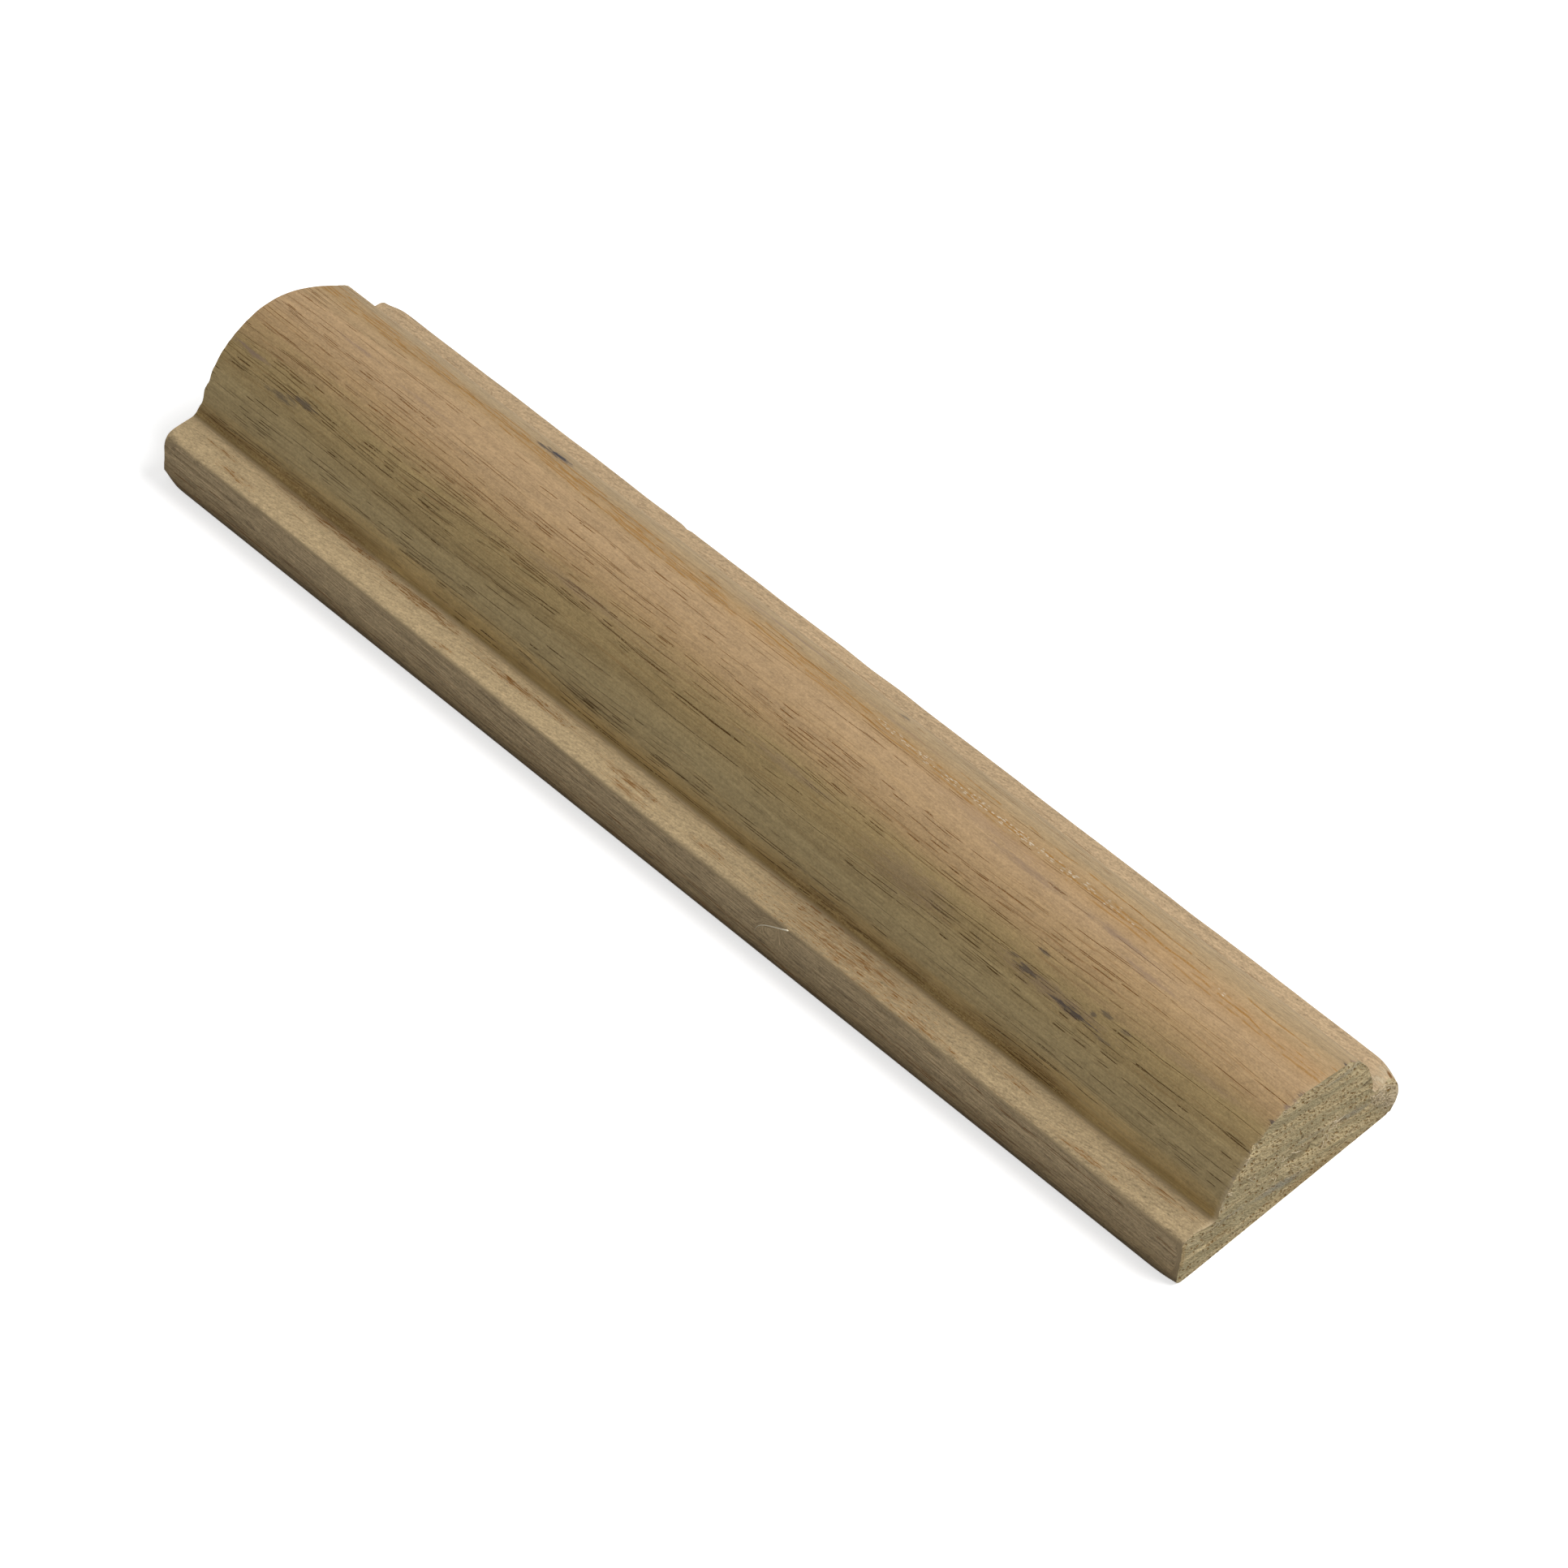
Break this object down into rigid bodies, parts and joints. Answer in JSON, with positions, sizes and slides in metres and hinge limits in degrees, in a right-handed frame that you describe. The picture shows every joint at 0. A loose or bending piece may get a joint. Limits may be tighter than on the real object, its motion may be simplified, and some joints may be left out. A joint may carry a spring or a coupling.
{
  "type": "wall moulding",
  "caption": "Short length of astragal wall moulding in pale hardwood: a half-round bead between flat ledges on a flat back, sawn square at the ends.",
  "frame": {"origin": "middle of the flat back, which is the face that goes against the wall", "axes": "+X along the length, towards the rough-sawn end; +Y across the width; +Z out of the back, towards the bead's crown"},
  "size_m": [0.196, 0.045, 0.024],
  "materials": {
    "wood": "planed, unfinished"
  },
  "bodies": {
    "root": {"moulding": "wood"}
  },
  "joints": []
}
